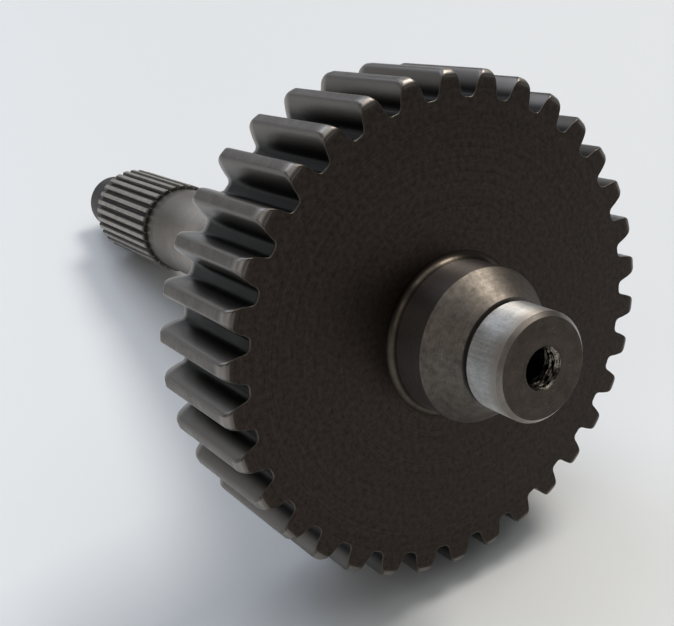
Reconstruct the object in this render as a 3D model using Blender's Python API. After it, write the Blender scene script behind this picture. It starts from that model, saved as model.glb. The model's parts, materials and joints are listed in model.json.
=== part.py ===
"""Gearbox output shaft: a steel forging with an integral spur gear, a ground journal and a splined end.

The shaft is built along its own X axis. X = 0 is the front face of the gear, the journal and its tapped
hole point to +X and the spline to -X. The finished piece is then laid down as it rests by itself, on two
neighbouring gear teeth and the end of its nose, with the origin under the middle of its box.
"""

import math

import bmesh
import bpy
from mathutils import Matrix

MM = 0.001

# Spur gear, stub teeth cut by a hob
GEAR_TEETH = 34
GEAR_MODULE = 2.75 * MM
GEAR_PRESSURE_ANGLE = math.radians(20.0)
GEAR_ADDENDUM = 2.2 * MM
GEAR_DEDENDUM = 2.75 * MM
GEAR_BACKLASH = 0.10 * MM
GEAR_HOB_TIP_RADIUS = 0.9 * MM
GEAR_WIDTH = 25.8 * MM
GEAR_TIP_CHAMFER = 1.3 * MM

# Least share of a hob's tip that stays flat between its rounded corners
HOB_TIP_FLAT = 0.1

# Front side: hub, ground conical shoulder, undercut, journal and tapped hole
HUB_RADIUS = 14.7 * MM
HUB_LENGTH = 8.3 * MM
HUB_FILLET = 1.5 * MM
CONE_LENGTH = 6.3 * MM
CONE_STEP = 0.45 * MM
UNDERCUT_WIDTH = 0.8 * MM
UNDERCUT_DEPTH = 0.5 * MM
JOURNAL_RADIUS = 10.0 * MM
JOURNAL_LENGTH = 8.3 * MM
JOURNAL_CHAMFER = 0.8 * MM
HOLE_RADIUS = 3.4 * MM
HOLE_DEPTH = 20.0 * MM
HOLE_COUNTERSINK = 0.6 * MM
HOLE_POINT_ANGLE = math.radians(118.0)

# Rear side: collar, bearing seat, plain shaft, neck
COLLAR_RADIUS = 14.7 * MM
COLLAR_LENGTH = 6.0 * MM
COLLAR_CHAMFER = 0.8 * MM
SEAT_RADIUS = 12.5 * MM
SEAT_LENGTH = 17.0 * MM
SEAT_FILLET = 0.6 * MM
SEAT_TAPER = 2.5 * MM
SHAFT_RADIUS = 11.25 * MM
SHAFT_LENGTH = 63.8 * MM
NECK_LENGTH = 4.5 * MM
NECK_DEPTH = 0.2 * MM

# Spline and pilot nose
SPLINE_TEETH = 30
SPLINE_MODULE = 0.8 * MM
SPLINE_PRESSURE_ANGLE = math.radians(30.0)
SPLINE_ADDENDUM = 0.22 * MM
SPLINE_DEDENDUM = 0.70 * MM
SPLINE_EXTRA_THICKNESS = 0.24 * MM
SPLINE_HOB_TIP_RADIUS = 0.12 * MM
SPLINE_LENGTH = 34.9 * MM
SPLINE_CHAMFER = 0.4 * MM
SPLINE_PHASE = math.radians(3.2)
NOSE_RADIUS = 8.05 * MM
NOSE_LENGTH = 16.8 * MM
NOSE_FILLET = 0.8 * MM
NOSE_CHAMFER = 0.5 * MM
CENTRE_RADIUS = 2.2 * MM
CENTRE_ANGLE = math.radians(60.0)

# Facets
TURNED_FACETS = 72
HOLE_FACETS = 24
FILLET_STEPS = 4
GEAR_ROOT_STEPS = 3
GEAR_FLANK_STEPS = 4
SPLINE_ROOT_STEPS = 2
SPLINE_FLANK_STEPS = 2
SMOOTH_BELOW = math.radians(25.0)


def involute(angle):
    """The involute function, in radians."""
    return math.tan(angle) - angle


def hobbed_half_tooth(
    teeth, module, pressure, addendum, dedendum, gap, hob_tip, clip, root_steps, flank_steps
):
    """Half a tooth as (angle, radius), from the middle of the gap to the middle of the tip.

    The root is the curve that the rounded corner of a hob sweeps as the blank rolls past it, and the flank
    is the involute that its straight side sweeps. Angles are measured from the middle of the gap. `gap` is
    the space between teeth on the pitch circle. `clip` is the radius where the tip chamfer ends on the
    face, and the flank gets a point there.
    """
    pitch_radius = teeth * module / 2.0
    tip_radius = pitch_radius + addendum
    base_radius = pitch_radius * math.cos(pressure)

    # The rounded corner of the hob, no wider than the gap allows, with its centre below the pitch line
    widest = (gap / 2.0 - dedendum * math.tan(pressure)) / (1.0 / math.cos(pressure) - math.tan(pressure))
    corner = min(hob_tip, (1.0 - HOB_TIP_FLAT) * widest)
    centre_depth = dedendum - corner
    centre_side = gap / 2.0 - centre_depth * math.tan(pressure) - corner / math.cos(pressure)

    # Root: the normal through the corner's centre passes through the rolling point
    points = [(0.0, pitch_radius - dedendum)]
    for step in range(root_steps + 1):
        lean = (math.pi / 2.0 - pressure) * step / root_steps
        run = centre_depth * math.tan(lean)
        reach = math.hypot(run, centre_depth) + corner
        side = reach * math.sin(lean)
        depth = reach * math.cos(lean)
        roll = (centre_side - run) / pitch_radius
        angle = roll + math.atan2(side, pitch_radius - depth)
        points.append((angle, math.hypot(side, pitch_radius - depth)))

    # Flank: from the end of the root curve to the corner of the tip, with one point at the chamfer
    half_gap = gap / 2.0 / pitch_radius
    flank_start = max(points[-1][1], base_radius)
    radii = [flank_start + (clip - flank_start) * step / flank_steps for step in range(1, flank_steps + 1)]
    for radius in radii + [tip_radius]:
        roll_angle = math.acos(base_radius / radius)
        points.append((half_gap + involute(roll_angle) - involute(pressure), radius))

    # Middle of the turned tip
    points.append((math.pi / teeth, tip_radius))
    return points


def full_outline(half_tooth, teeth, phase):
    """All the teeth, as one list of teeth, each a list of (angle, radius) from one gap to the next."""
    pitch_angle = 2.0 * math.pi / teeth
    outline = []
    for tooth in range(teeth):
        start = phase + tooth * pitch_angle
        rising = [(start + angle, radius) for angle, radius in half_tooth]
        falling = [(start + pitch_angle - angle, radius) for angle, radius in reversed(half_tooth[1:-1])]
        outline.append(rising + falling)
    return outline


def add_point(bm, x, angle, radius):
    """A vertex at a distance along the axis; angle 0 points straight down, to -Z."""
    return bm.verts.new((x, radius * math.sin(angle), -radius * math.cos(angle)))


def toothed_ring(bm, outline, x, clip):
    """One ring of vertices per tooth, with every radius held to `clip`."""
    return [[add_point(bm, x, angle, min(radius, clip)) for angle, radius in tooth] for tooth in outline]


def bridge_teeth(bm, ring_a, ring_b):
    """Walls between two toothed rings, split so that a flank keeps its straight edge to the chamfer."""
    loop_a = [vert for tooth in ring_a for vert in tooth]
    loop_b = [vert for tooth in ring_b for vert in tooth]
    per_tooth = len(ring_a[0])
    for i in range(len(loop_a)):
        j = (i + 1) % len(loop_a)
        quad = (loop_a[i], loop_a[j], loop_b[j], loop_b[i])
        rising = i % per_tooth < per_tooth // 2
        if rising:
            bm.faces.new((quad[0], quad[2], quad[3]))
            bm.faces.new((quad[0], quad[1], quad[2]))
        else:
            bm.faces.new((quad[0], quad[1], quad[3]))
            bm.faces.new((quad[1], quad[2], quad[3]))


def circle_ring(bm, x, radius, facets):
    """A ring of vertices on a circle about the axis."""
    return [add_point(bm, x, 2.0 * math.pi * i / facets, radius) for i in range(facets)]


def bridge_circles(bm, ring_a, ring_b):
    """A band of faces between two rings that have the same number of vertices."""
    count = len(ring_a)
    for i in range(count):
        j = (i + 1) % count
        bm.faces.new((ring_a[i], ring_a[j], ring_b[j], ring_b[i]))


def turned(bm, profile, facets):
    """A turned surface through (x, radius) points. Returns its first and last ring."""
    rings = [circle_ring(bm, x, radius, facets) for x, radius in profile]
    for ring_a, ring_b in zip(rings, rings[1:]):
        bridge_circles(bm, ring_a, ring_b)
    return rings[0], rings[-1]


def ring_angles(ring):
    """The angle of each vertex about the axis, counted upwards, and the first again after a full turn."""
    start = math.atan2(ring[0].co.y, -ring[0].co.z)
    angles = [start + (math.atan2(vert.co.y, -vert.co.z) - start) % (2.0 * math.pi) for vert in ring]
    return angles + [start + 2.0 * math.pi]


def flat_annulus(bm, outer, inner):
    """Triangles between two rings on one plane, taken in step with their angles about the axis."""
    outer_angles = ring_angles(outer)
    inner_angles = ring_angles(inner)
    i = 0
    j = 0
    while i < len(outer) or j < len(inner):
        here = outer[i % len(outer)]
        across = inner[j % len(inner)]
        if j == len(inner) or (i < len(outer) and outer_angles[i + 1] <= inner_angles[j + 1]):
            i += 1
            bm.faces.new((here, outer[i % len(outer)], across))
        else:
            j += 1
            bm.faces.new((here, inner[j % len(inner)], across))


def toothed_face(bm, ring, inner):
    """The flat end of a toothed section: a face for each tooth, and a ring of faces down to `inner`."""
    for number, tooth in enumerate(ring):
        following = ring[(number + 1) % len(ring)]
        bm.faces.new(tooth + [following[0]])
    flat_annulus(bm, [tooth[0] for tooth in ring], inner)


def toothed_section(bm, outline, front, back, clip, tip_radius, chamfer, front_inner, back_inner):
    """A gear or spline between two flat ends, its tips turned to a 45 degree chamfer at both ends."""
    rings = [
        toothed_ring(bm, outline, front, clip),
        toothed_ring(bm, outline, front - chamfer, tip_radius),
        toothed_ring(bm, outline, back + chamfer, tip_radius),
        toothed_ring(bm, outline, back, clip),
    ]
    bridge_teeth(bm, rings[0], rings[1])
    bridge_teeth(bm, rings[1], rings[2])
    bridge_teeth(bm, rings[3], rings[2])
    toothed_face(bm, rings[0], front_inner)
    toothed_face(bm, rings[3], back_inner)


def fillet_profile(x, radius, size, along):
    """A hollow fillet from a flat face at `x` to a cylinder that runs towards +X or -X, as `along` says."""
    points = []
    for step in range(FILLET_STEPS + 1):
        turn = math.pi / 2.0 * step / FILLET_STEPS
        points.append((x + along * size * (1.0 - math.cos(turn)), radius + size * (1.0 - math.sin(turn))))
    return points


def front_profile():
    """Hub, conical shoulder, undercut, journal and end face, from the gear out to the hole's mouth."""
    hub_end = HUB_LENGTH
    cone_end = hub_end + CONE_LENGTH
    journal_start = cone_end + UNDERCUT_WIDTH
    journal_end = journal_start + JOURNAL_LENGTH
    floor = JOURNAL_RADIUS - UNDERCUT_DEPTH
    wall = UNDERCUT_WIDTH / 5.0
    profile = fillet_profile(0.0, HUB_RADIUS, HUB_FILLET, 1)
    profile += [
        (hub_end, HUB_RADIUS),
        (cone_end, JOURNAL_RADIUS + CONE_STEP),
        (cone_end + wall, floor),
        (journal_start - wall, floor),
        (journal_start, JOURNAL_RADIUS),
        (journal_end - JOURNAL_CHAMFER, JOURNAL_RADIUS),
        (journal_end, JOURNAL_RADIUS - JOURNAL_CHAMFER),
    ]
    return profile


def rear_profile():
    """Collar, bearing seat, plain shaft and neck, from the gear back to the spline's shoulder."""
    collar_end = -GEAR_WIDTH - COLLAR_LENGTH
    seat_end = collar_end - SEAT_LENGTH
    shaft_start = seat_end - SEAT_TAPER
    shaft_end = shaft_start - SHAFT_LENGTH
    profile = fillet_profile(-GEAR_WIDTH, COLLAR_RADIUS, HUB_FILLET, -1)
    profile += [(collar_end + COLLAR_CHAMFER, COLLAR_RADIUS), (collar_end, COLLAR_RADIUS - COLLAR_CHAMFER)]
    profile += fillet_profile(collar_end, SEAT_RADIUS, SEAT_FILLET, -1)
    profile += [(seat_end, SEAT_RADIUS), (shaft_start, SHAFT_RADIUS)]

    # The neck dips in a smooth hollow before the spline
    neck_radius = spline_root_radius() - NECK_DEPTH
    for step in range(FILLET_STEPS + 1):
        share = step / FILLET_STEPS
        dip = (1.0 - math.cos(math.pi * share)) / 2.0
        profile.append((shaft_end - NECK_LENGTH * share, SHAFT_RADIUS + (neck_radius - SHAFT_RADIUS) * dip))
    return profile


def spline_root_radius():
    """The radius at the floor of the spline's grooves."""
    return SPLINE_TEETH * SPLINE_MODULE / 2.0 - SPLINE_DEDENDUM


def cone_to_point(bm, ring, x):
    """Close a ring with a cone whose point lies on the axis."""
    point = bm.verts.new((x, 0.0, 0.0))
    for i in range(len(ring)):
        bm.faces.new((ring[i], ring[(i + 1) % len(ring)], point))


def build_shaft():
    """The whole shaft as one closed mesh along its own X axis."""
    bm = bmesh.new()

    # Front side, and the hole in its end: countersink, wall and drill point
    front_first, front_last = turned(bm, front_profile(), TURNED_FACETS)
    end_x = HUB_LENGTH + CONE_LENGTH + UNDERCUT_WIDTH + JOURNAL_LENGTH
    hole_bottom = end_x - HOLE_DEPTH
    hole_profile = [
        (end_x, HOLE_RADIUS + HOLE_COUNTERSINK),
        (end_x - HOLE_COUNTERSINK, HOLE_RADIUS),
        (hole_bottom, HOLE_RADIUS),
    ]
    hole_first, hole_last = turned(bm, hole_profile, HOLE_FACETS)
    flat_annulus(bm, front_last, hole_first)
    cone_to_point(bm, hole_last, hole_bottom - HOLE_RADIUS / math.tan(HOLE_POINT_ANGLE / 2.0))

    # Rear side
    rear = rear_profile()
    rear_first, rear_last = turned(bm, rear, TURNED_FACETS)

    # Gear between the two hub fillets, a gap of its teeth straight down
    gear_tip = GEAR_TEETH * GEAR_MODULE / 2.0 + GEAR_ADDENDUM
    gear_clip = gear_tip - GEAR_TIP_CHAMFER
    gear_gap = math.pi * GEAR_MODULE / 2.0 + GEAR_BACKLASH
    gear_tooth = hobbed_half_tooth(
        GEAR_TEETH, GEAR_MODULE, GEAR_PRESSURE_ANGLE, GEAR_ADDENDUM, GEAR_DEDENDUM, gear_gap,
        GEAR_HOB_TIP_RADIUS, gear_clip, GEAR_ROOT_STEPS, GEAR_FLANK_STEPS,
    )
    toothed_section(
        bm, full_outline(gear_tooth, GEAR_TEETH, 0.0), 0.0, -GEAR_WIDTH, gear_clip, gear_tip,
        GEAR_TIP_CHAMFER, front_first, rear_first,
    )

    # Spline between the neck and the nose, its end chamfers held above the floor of the grooves
    spline_start = rear[-1][0]
    spline_end = spline_start - SPLINE_LENGTH
    spline_tip = SPLINE_TEETH * SPLINE_MODULE / 2.0 + SPLINE_ADDENDUM
    spline_clip = max(spline_tip - SPLINE_CHAMFER, spline_root_radius() + SPLINE_HOB_TIP_RADIUS)
    spline_gap = math.pi * SPLINE_MODULE / 2.0 - SPLINE_EXTRA_THICKNESS
    spline_tooth = hobbed_half_tooth(
        SPLINE_TEETH, SPLINE_MODULE, SPLINE_PRESSURE_ANGLE, SPLINE_ADDENDUM, SPLINE_DEDENDUM, spline_gap,
        SPLINE_HOB_TIP_RADIUS, spline_clip, SPLINE_ROOT_STEPS, SPLINE_FLANK_STEPS,
    )
    spline_phase = SPLINE_PHASE + math.pi / SPLINE_TEETH
    nose_end = spline_end - NOSE_LENGTH
    nose_profile = fillet_profile(spline_end, NOSE_RADIUS, NOSE_FILLET, -1)
    nose_profile += [(nose_end + NOSE_CHAMFER, NOSE_RADIUS), (nose_end, NOSE_RADIUS - NOSE_CHAMFER)]
    nose_first, nose_last = turned(bm, nose_profile, TURNED_FACETS)
    toothed_section(
        bm, full_outline(spline_tooth, SPLINE_TEETH, spline_phase), spline_start, spline_end, spline_clip,
        spline_tip, spline_tip - spline_clip, rear_last, nose_first,
    )

    # Lathe centre in the end of the nose
    centre_mouth = circle_ring(bm, nose_end, CENTRE_RADIUS, HOLE_FACETS)
    flat_annulus(bm, nose_last, centre_mouth)
    cone_to_point(bm, centre_mouth, nose_end + CENTRE_RADIUS / math.tan(CENTRE_ANGLE / 2.0))

    bmesh.ops.recalc_face_normals(bm, faces=bm.faces)
    mesh = bpy.data.meshes.new("output_shaft")
    bm.to_mesh(mesh)
    bm.free()
    mesh.shade_smooth()
    mesh.set_sharp_from_angle(angle=SMOOTH_BELOW)
    return mesh


def lay_down(shaft):
    """Tilt the shaft onto its lowest gear teeth and its far end, and put the origin under its box."""
    points = [vert.co for vert in shaft.data.vertices]
    lowest = min(point.z for point in points)
    heel_x = min(point.x for point in points if point.z - lowest < 1e-6)
    slope = min((point.z - lowest) / (heel_x - point.x) for point in points if heel_x - point.x > 1e-6)
    tilt = Matrix.Rotation(-math.atan(slope), 4, "Y")
    placed = [tilt @ point for point in points]
    low = [min(point[axis] for point in placed) for axis in range(3)]
    high = [max(point[axis] for point in placed) for axis in range(3)]
    shaft.rotation_euler = tilt.to_euler()
    shaft.location = (-(low[0] + high[0]) / 2.0, -(low[1] + high[1]) / 2.0, -low[2])


def steel():
    """Machined alloy steel under a thin brown-black heat-treatment skin."""
    material = bpy.data.materials.new("machined_steel")
    material.use_nodes = True
    shader = material.node_tree.nodes["Principled BSDF"]
    shader.inputs["Base Color"].default_value = (0.13, 0.12, 0.11, 1.0)
    shader.inputs["Metallic"].default_value = 1.0
    shader.inputs["Roughness"].default_value = 0.45
    return material


def main():
    for item in list(bpy.data.objects):
        bpy.data.objects.remove(item)
    shaft = bpy.data.objects.new("output_shaft", build_shaft())
    shaft.data.materials.append(steel())
    bpy.context.scene.collection.objects.link(shaft)
    lay_down(shaft)


main()
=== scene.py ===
"""Looks of a gearbox output shaft: one steel forging, hobbed, turned and ground, lying on a pale floor.

The shaft is built along its own axis, as it was made, with every edge rounded, and is then
laid down where its solid lies. The gear end is one wedge for each gear tooth and the spline end one wedge
for each spline tooth, repeated round the axis by Geometry Nodes, which also cut the thread in the hole.
Lengths are in metres. Local X runs along the axis: 0 at the gear's front face, + towards the journal.
"""

import json
import math
from types import SimpleNamespace

import bmesh
import bpy
from mathutils import Matrix, Vector

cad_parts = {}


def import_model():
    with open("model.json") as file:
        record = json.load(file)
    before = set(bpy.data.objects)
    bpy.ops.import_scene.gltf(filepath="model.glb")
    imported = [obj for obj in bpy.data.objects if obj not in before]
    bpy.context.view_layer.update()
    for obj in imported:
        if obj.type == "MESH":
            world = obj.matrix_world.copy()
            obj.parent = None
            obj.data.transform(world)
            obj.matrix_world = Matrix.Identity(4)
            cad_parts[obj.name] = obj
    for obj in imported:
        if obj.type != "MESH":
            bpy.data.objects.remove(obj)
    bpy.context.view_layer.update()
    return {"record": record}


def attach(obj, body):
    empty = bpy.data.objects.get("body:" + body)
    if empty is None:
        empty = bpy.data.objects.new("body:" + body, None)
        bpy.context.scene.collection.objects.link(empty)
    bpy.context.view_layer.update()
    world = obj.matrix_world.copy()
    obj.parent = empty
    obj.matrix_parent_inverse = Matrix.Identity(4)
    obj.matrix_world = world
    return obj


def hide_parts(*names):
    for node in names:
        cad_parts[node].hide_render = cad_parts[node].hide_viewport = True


MM = 0.001

# Sizes of the solid, as modelled
GEAR = SimpleNamespace(
    teeth=34, module=2.75 * MM, pressure=math.radians(20.0), addendum=2.2 * MM, dedendum=2.75 * MM,
    backlash=0.10 * MM, hob_tip=0.9 * MM, tip_edge=0.75 * MM, flank_rim=0.10 * MM, root_rim=0.28 * MM,
    back_rims=3.0, root_steps=5, flank_steps=4, edge_steps=4,
)
GEAR_WIDTH = 25.8 * MM
GEAR_TIP_CHAMFER = 1.3 * MM
SPLINE = SimpleNamespace(
    teeth=30, module=0.8 * MM, pressure=math.radians(30.0), addendum=0.22 * MM, dedendum=0.70 * MM,
    backlash=-0.24 * MM, hob_tip=0.12 * MM, tip_edge=0.22 * MM, flank_rim=0.08 * MM, root_rim=0.12 * MM,
    back_rims=1.0, root_steps=3, flank_steps=2, edge_steps=3,
)
SPLINE_LENGTH = 34.9 * MM
SPLINE_CHAMFER = 0.4 * MM
SPLINE_PHASE = math.radians(3.2)

HUB_RADIUS = 14.7 * MM
HUB_LENGTH = 8.3 * MM
HUB_FILLET = 1.5 * MM
CONE_LENGTH = 6.3 * MM
CONE_STEP = 0.45 * MM
UNDERCUT_WIDTH = 0.8 * MM
UNDERCUT_DEPTH = 0.5 * MM
UNDERCUT_WALL = UNDERCUT_WIDTH / 5.0
JOURNAL_RADIUS = 10.0 * MM
JOURNAL_LENGTH = 8.3 * MM
JOURNAL_CHAMFER = 0.8 * MM
HOLE_DEPTH = 20.0 * MM
HOLE_POINT_ANGLE = math.radians(118.0)
HOLE_MOUTH_RADIUS = 4.0 * MM
THREAD_CORE_RADIUS = 3.38 * MM
THREAD_DEPTH = 0.62 * MM
THREAD_PITCH = 1.25 * MM
THREAD_LENGTH = 16.0 * MM

# Flats at the crests and roots of the thread, as shares of half its pitch
THREAD_CREST_FLAT = 0.25
THREAD_ROOT_FLAT = 0.125

COLLAR_RADIUS = 14.7 * MM
COLLAR_LENGTH = 6.0 * MM
COLLAR_CHAMFER = 0.8 * MM
SEAT_RADIUS = 12.5 * MM
SEAT_LENGTH = 17.0 * MM
SEAT_FILLET = 0.6 * MM
SEAT_TAPER = 2.5 * MM
SHAFT_RADIUS = 11.25 * MM
SHAFT_LENGTH = 63.8 * MM
NECK_LENGTH = 4.5 * MM
NECK_DEPTH = 0.2 * MM
NECK_SLOPE = 0.75 * NECK_LENGTH
NOSE_RADIUS = 8.05 * MM
NOSE_LENGTH = 16.8 * MM
NOSE_FILLET = 0.8 * MM
NOSE_CHAMFER = 0.5 * MM
CENTRE_RADIUS = 2.2 * MM
CENTRE_ANGLE = math.radians(60.0)

JOURNAL_END = HUB_LENGTH + CONE_LENGTH + UNDERCUT_WIDTH + JOURNAL_LENGTH
SPLINE_START = -(GEAR_WIDTH + COLLAR_LENGTH + SEAT_LENGTH + SEAT_TAPER + SHAFT_LENGTH + NECK_LENGTH)
NOSE_END = SPLINE_START - SPLINE_LENGTH - NOSE_LENGTH

# How far from the axis the mount on the end face lies, between the hole and the chamfer
END_FACE_MOUNT_HEIGHT = 6.5 * MM

# Rings where the ends of the turned stretches are joined by flat faces
GEAR_BACK_OUTER_RADIUS = COLLAR_RADIUS + HUB_FILLET + 3.0 * MM
GEAR_BACK_INNER_RADIUS = COLLAR_RADIUS + HUB_FILLET + 1.5 * MM
END_FACE_INNER_RADIUS = HOLE_MOUTH_RADIUS + 1.0 * MM
NOSE_FACE_INNER_RADIUS = CENTRE_RADIUS + 1.5 * MM
RING_TOLERANCE = 0.05 * MM

# How far below the roots of the teeth the wedges' flat faces reach
GEAR_FACE_BAND = 2.0 * MM
SPLINE_FACE_BAND = 1.0 * MM

# Fineness of the visual mesh
WEDGE_COLUMNS = 8
HOLE_COLUMNS = 96
HOLE_ROWS = 120
CENTRE_COLUMNS = 48
SMOOTH_BELOW = math.radians(35.0)
ARC_STEP = math.radians(15.0)
EDGE_BAND = 0.12 * MM
ROUND_SHARE = 0.8
MERGE_DISTANCE = 0.0005 * MM

# Degrees between two rows over a tooth's rounded end, and the least share of its height that a flank keeps
TOOTH_END_STEP = 10
LEAST_FLANK = 0.02

# The most of a turned stretch's length that a rounding and the band beside it may take
CORNER_ROOM = 0.45
BAND_ROOM = 0.04

# How strongly the rows of the hole's grid crowd towards its mouth
HOLE_CROWDING = 1.15

# Middle of the noise patterns, and how far from it most of their values reach
PATTERN_MIDDLE = 0.5
PATTERN_REACH = 0.2

# How far tool marks drift outwards in one turn, and how much longer than wide drawn marks are
MARK_DRIFT = 0.15 * MM
MARK_STRETCH = 25.0

# How scratches lean on the end faces, and how much longer than wide they are
SCRATCH_LEAN = math.radians(35.0)
SCRATCH_THINNESS = 14.0

# Pattern values between which a scratch comes through, and its tone
SCRATCH_START = 0.73
SCRATCH_FULL = 0.80
SCRATCH_TONE = "#7D756B"

# Camera, lamps and floor
CAMERA_PLACE = Vector((192.125, -111.355, 167.043)) * MM
CAMERA_AZIMUTH = 55.223
CAMERA_ELEVATION = 33.814
CAMERA_ROLL = 1.429
CAMERA_LENS = 56.408
LIGHT_TARGET = Vector((0.02, 0.0, 0.05))
LAMP_DISTANCE = 2.70
FLOOR_HALF_SIZE = 12.0
FLOOR_TONE = "#DEE2E5"
FLOOR_ROUGHNESS = 0.45

# Distances from the middle between which the floor turns to the walls' even tone
FLOOR_FADE_START = 0.4
FLOOR_FADE_END = 1.6

# Where the surround is brightest, as a direction, how near to it that holds, and the surround's tones
BRIGHTEST_SKY = (-0.50, -0.05, 0.86)
SKY_FULL = 0.8
SKY_LOW_TONE = "#545352"
SKY_HIGH_TONE = "#C6C7C9"
SKY_STRENGTH = 0.5

# The room's pale walls, and the sines of the heights where they start to fade and where they are gone
WALL_TONE = "#D6DADD"
WALL_FADE_START = 0.10
WALL_FADE_END = 0.22

# The zones of the surface, each with its own finish, in the order of the material slots
ZONES = [
    "gear_face", "gear_flank", "gear_rim", "gear_tip", "fillet", "hub", "cone", "undercut",
    "journal", "journal_edge", "end_face", "thread", "shaft", "neck", "spline_groove", "spline_land", "nose",
]


def involute(angle):
    """The involute function: how far an involute has turned about its circle at this pressure angle."""
    return math.tan(angle) - angle


def half_tooth(cut, tip_radius):
    """Half a tooth, from the middle of the gap to the middle of the tip, as (angle, radius, rim).

    The root is the curve that the rounded corner of the hob sweeps, and the flank is the involute. `rim` is
    the size of the rounding along the tooth's end there.
    """
    pitch_radius = cut.teeth * cut.module / 2.0
    base_radius = pitch_radius * math.cos(cut.pressure)
    half_gap = (math.pi * cut.module / 2.0 + cut.backlash) / 2.0
    centre_depth = cut.dedendum - cut.hob_tip
    centre_side = half_gap - centre_depth * math.tan(cut.pressure) - cut.hob_tip / math.cos(cut.pressure)

    points = [(0.0, pitch_radius - cut.dedendum, cut.root_rim)]
    for step in range(cut.root_steps + 1):
        share = step / cut.root_steps
        lean = (math.pi / 2.0 - cut.pressure) * share
        run = centre_depth * math.tan(lean)
        reach = math.hypot(run, centre_depth) + cut.hob_tip
        side = reach * math.sin(lean)
        depth = reach * math.cos(lean)
        angle = (centre_side - run) / pitch_radius + math.atan2(side, pitch_radius - depth)
        rim = cut.root_rim + (cut.flank_rim - cut.root_rim) * share
        points.append((angle, math.hypot(side, pitch_radius - depth), rim))

    def flank_angle(radius):
        roll = math.acos(min(1.0, base_radius / radius))
        return half_gap / pitch_radius + involute(roll) - involute(cut.pressure)

    flank_start = points[-1][1]
    flank_end = max(tip_radius - cut.tip_edge, flank_start + LEAST_FLANK * (tip_radius - flank_start))
    for step in range(1, cut.flank_steps + 1):
        radius = flank_start + (flank_end - flank_start) * step / cut.flank_steps
        points.append((flank_angle(radius), radius, cut.flank_rim))

    # Rounded corner of the tip, from the flank over to the turned outside
    tip_middle = math.pi / cut.teeth
    corner = flank_angle(tip_radius)
    over = min(corner + (tip_radius - flank_end) / tip_radius, 0.5 * (corner + tip_middle))
    for step in range(1, cut.edge_steps + 1):
        t = step / cut.edge_steps
        angle = (1 - t) ** 2 * flank_angle(flank_end) + 2 * t * (1 - t) * corner + t ** 2 * over
        radius = (1 - t) ** 2 * flank_end + (2 * t * (1 - t) + t ** 2) * tip_radius
        points.append((angle, radius, cut.flank_rim))
    points.append((tip_middle, tip_radius, cut.flank_rim))
    return points


def new_part():
    """An empty bmesh whose faces carry their zone's number."""
    bm = bmesh.new()
    bm.faces.layers.int.new("zone")
    return bm


def around(x, angle, radius):
    """A point at a distance along the axis; angle 0 points straight down before the shaft is tilted."""
    return Vector((x, radius * math.sin(angle), -radius * math.cos(angle)))


def tooth_row(bm, cut, x, depth, chamfer, rims=1.0, extra=0.0):
    """One row of vertices across a tooth, at `depth` behind the tooth's end, with its rims rounded.

    `depth` sets how far the rounded rims and the turned chamfer have opened out. `rims` enlarges the rims,
    and `extra` pulls the row further in, for the band of flat face beside the rim.
    """
    full_tip = cut.teeth * cut.module / 2.0 + cut.addendum
    open_share = min(1.0, depth / chamfer)
    circle = math.sqrt(1.0 - (1.0 - open_share) ** 2)
    tip_radius = full_tip - chamfer * (1.0 - ROUND_SHARE * circle - (1.0 - ROUND_SHARE) * open_share)
    half = half_tooth(cut, tip_radius)
    outline = [(-math.pi / cut.teeth + angle, radius, rims * rim) for angle, radius, rim in half]
    outline += [(-angle, radius, rim) for angle, radius, rim in reversed(outline[:-1])]

    flat = [around(0.0, angle, radius) for angle, radius, _ in outline]
    row = []
    for i, (_, _, rim) in enumerate(outline):
        if i in (0, len(flat) - 1):
            inward = -flat[i].normalized()
        else:
            along = (flat[i + 1] - flat[i - 1]).normalized()
            inward = Vector((0.0, -along.z, along.y))
        left = max(0.0, rim - depth)
        inset = rim - math.sqrt(rim ** 2 - left ** 2) + extra
        row.append(bm.verts.new(flat[i] + inward * inset + Vector((x, 0.0, 0.0))))
    return row


def arc_row(bm, x, radius, half_angle):
    """One row of vertices across a wedge, on a circle."""
    angles = [half_angle * (2.0 * i / WEDGE_COLUMNS - 1.0) for i in range(WEDGE_COLUMNS + 1)]
    return [bm.verts.new(around(x, angle, radius)) for angle in angles]


def add_face(bm, verts, name):
    """A face that belongs to the named zone."""
    bm.faces.new(verts)[bm.faces.layers.int["zone"]] = ZONES.index(name)


def skin(bm, rows, names):
    """Quads between rows; `names` gives the zone for a row and a column."""
    for i, (row, following) in enumerate(zip(rows, rows[1:])):
        for j in range(len(row) - 1):
            add_face(bm, (row[j], row[j + 1], following[j + 1], following[j]), names(i, j))


def flat_wedge(bm, arc, row, name):
    """The flat piece of a wedge between a circle's arc and a row across a tooth."""
    add_face(bm, list(arc) + list(reversed(row)), name)


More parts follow.
